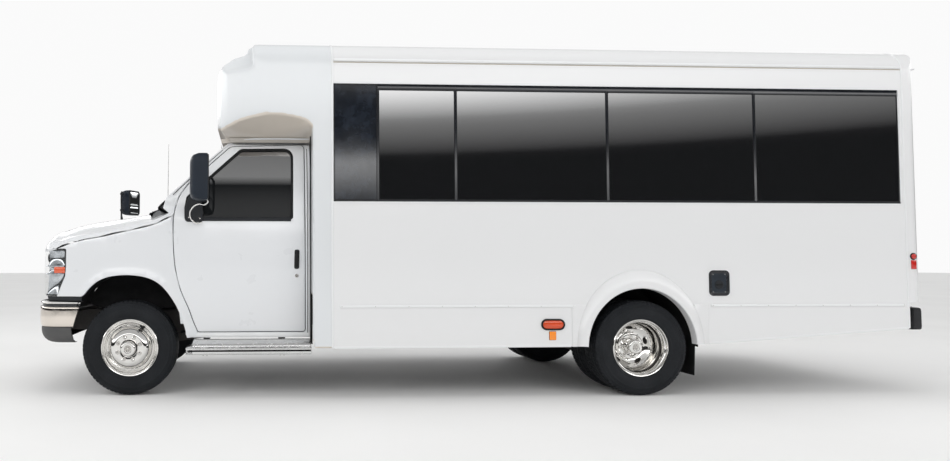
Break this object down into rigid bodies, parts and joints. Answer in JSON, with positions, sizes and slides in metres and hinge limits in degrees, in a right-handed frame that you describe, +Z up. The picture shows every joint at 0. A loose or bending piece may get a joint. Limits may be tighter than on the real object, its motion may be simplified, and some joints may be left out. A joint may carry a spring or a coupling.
{
  "type": "minibus",
  "caption": "Shuttle minibus on a cutaway van chassis, with coach body, steered front wheels, twin rear wheels, opening doors and hood.",
  "frame": {"origin": "middle of the vehicle's outline on the ground", "axes": "nose towards -X, driver's side -Y, +Z up"},
  "size_m": [7.225, 2.72, 2.831],
  "materials": {
    "frame_black": "satin black paint, dusty",
    "engine_iron": "rough casting",
    "tank_black": "matte",
    "exhaust_steel": "dull, heat stained",
    "tyre_rubber": "black rubber",
    "rim_chrome": "polished",
    "bumper_chrome": "polished",
    "trim_black": "textured",
    "flap_rubber": "matte",
    "cab_paint": "gloss white",
    "body_paint": "gloss white",
    "lamp_lens": "clear gloss lens",
    "tinted_glass": "dark privacy tint",
    "clear_glass": "light tint",
    "dash_plastic": "grained",
    "seat_fabric": "woven",
    "floor_vinyl": "ribbed vinyl",
    "step_aluminium": "polished tread"
  },
  "bodies": {
    "vehicle_body": {"body_floor": "floor_vinyl", "body_roof": "body_paint", "body_side_left": "body_paint", "body_side_right": "body_paint", "cab_seats": "seat_fabric", "cab_shell": "cab_paint", "chassis_frame": "frame_black", "dashboard": "dash_plastic", "engine_block": "engine_iron", "exhaust_pipe": "exhaust_steel", "front_axle": "frame_black", "front_bumper": "bumper_chrome", "front_cap": "body_paint", "front_fenders": "cab_paint", "front_valance": "trim_black", "fuel_tank": "tank_black", "grille": "bumper_chrome", "headlights": "lamp_lens", "lamps": "lamp_lens", "mirror_right": "trim_black", "mud_flaps": "flap_rubber", "passenger_seats": "seat_fabric", "rear_axle": "frame_black", "rear_bumper": "trim_black", "rear_wall": "body_paint", "running_boards": "step_aluminium", "side_windows": "tinted_glass", "wheel_flares": "body_paint", "windshield": "clear_glass"},
    "steering_wheel": {"steering_wheel": "dash_plastic"},
    "knuckle_left": {"knuckle_left": "frame_black"},
    "knuckle_right": {"knuckle_right": "frame_black"},
    "wheel_front_left": {"front_rim_left": "rim_chrome", "front_tyre_left": "tyre_rubber"},
    "wheel_front_right": {"front_rim_right": "rim_chrome", "front_tyre_right": "tyre_rubber"},
    "wheel_rear_left": {"rear_rims_left": "rim_chrome", "rear_tyres_left": "tyre_rubber"},
    "wheel_rear_right": {"rear_rims_right": "rim_chrome", "rear_tyres_right": "tyre_rubber"},
    "driver_door": {"driver_door": "cab_paint", "driver_door_glass": "clear_glass", "mirror_left": "trim_black"},
    "passenger_door": {"passenger_door": "cab_paint", "passenger_door_glass": "clear_glass"},
    "hood": {"hood": "cab_paint"},
    "entry_door_front": {"entry_door_front": "body_paint", "entry_door_front_glass": "tinted_glass"},
    "entry_door_rear": {"entry_door_rear": "body_paint", "entry_door_rear_glass": "tinted_glass"},
    "rear_door": {"rear_door": "body_paint", "rear_door_glass": "tinted_glass"}
  },
  "joints": [
    {"name": "steering_wheel_turn", "type": "hinge", "parent": "vehicle_body", "child": "steering_wheel", "pos_m": [-2.09974, -0.52, 1.2692], "axis": [0.8829, 0, 0.4695], "range_deg": [-510, 510]},
    {"name": "steer_left", "type": "hinge", "parent": "vehicle_body", "child": "knuckle_left", "pos_m": [-2.8275, -0.8, 0.372], "axis": [0, 0, 1], "range_deg": [-34, 34]},
    {"name": "steer_right", "type": "hinge", "parent": "vehicle_body", "child": "knuckle_right", "pos_m": [-2.8275, 0.8, 0.372], "axis": [0, 0, 1], "range_deg": [-34, 34]},
    {"name": "front_left_spin", "type": "hinge", "parent": "knuckle_left", "child": "wheel_front_left", "pos_m": [-2.8275, -0.88, 0.372], "axis": [0, 1, 0], "continuous": true},
    {"name": "front_right_spin", "type": "hinge", "parent": "knuckle_right", "child": "wheel_front_right", "pos_m": [-2.8275, 0.88, 0.372], "axis": [0, 1, 0], "continuous": true},
    {"name": "rear_left_spin", "type": "hinge", "parent": "vehicle_body", "child": "wheel_rear_left", "pos_m": [1.1855, -1.107, 0.372], "axis": [0, 1, 0], "continuous": true},
    {"name": "rear_right_spin", "type": "hinge", "parent": "vehicle_body", "child": "wheel_rear_right", "pos_m": [1.1855, 1.107, 0.372], "axis": [0, 1, 0], "continuous": true},
    {"name": "driver_door_hinge", "type": "hinge", "parent": "vehicle_body", "child": "driver_door", "pos_m": [-2.4755, -1.007, 1], "axis": [0, 0, -1], "range_deg": [0, 65]},
    {"name": "passenger_door_hinge", "type": "hinge", "parent": "vehicle_body", "child": "passenger_door", "pos_m": [-2.4755, 1.007, 1], "axis": [0, 0, 1], "range_deg": [0, 65]},
    {"name": "hood_hinge", "type": "hinge", "parent": "vehicle_body", "child": "hood", "pos_m": [-2.6625, 0, 1.44], "axis": [0, 1, 0], "range_deg": [0, 50]},
    {"name": "entry_front_hinge", "type": "hinge", "parent": "vehicle_body", "child": "entry_door_front", "pos_m": [-1.1375, 1.219, 1.4], "axis": [0, 0, 1], "range_deg": [0, 88]},
    {"name": "entry_rear_hinge", "type": "hinge", "parent": "vehicle_body", "child": "entry_door_rear", "pos_m": [-0.3575, 1.219, 1.4], "axis": [0, 0, -1], "range_deg": [0, 88]},
    {"name": "rear_door_hinge", "type": "hinge", "parent": "vehicle_body", "child": "rear_door", "pos_m": [3.5185, 0.436, 1.5], "axis": [0, 0, 1], "range_deg": [0, 110]}
  ],
  "couplings": [
    {"joint": "steer_left", "follows": "steering_wheel_turn", "ratio": 0.066667},
    {"joint": "steer_right", "follows": "steering_wheel_turn", "ratio": 0.066667},
    {"joint": "entry_rear_hinge", "follows": "entry_front_hinge", "ratio": 1}
  ]
}
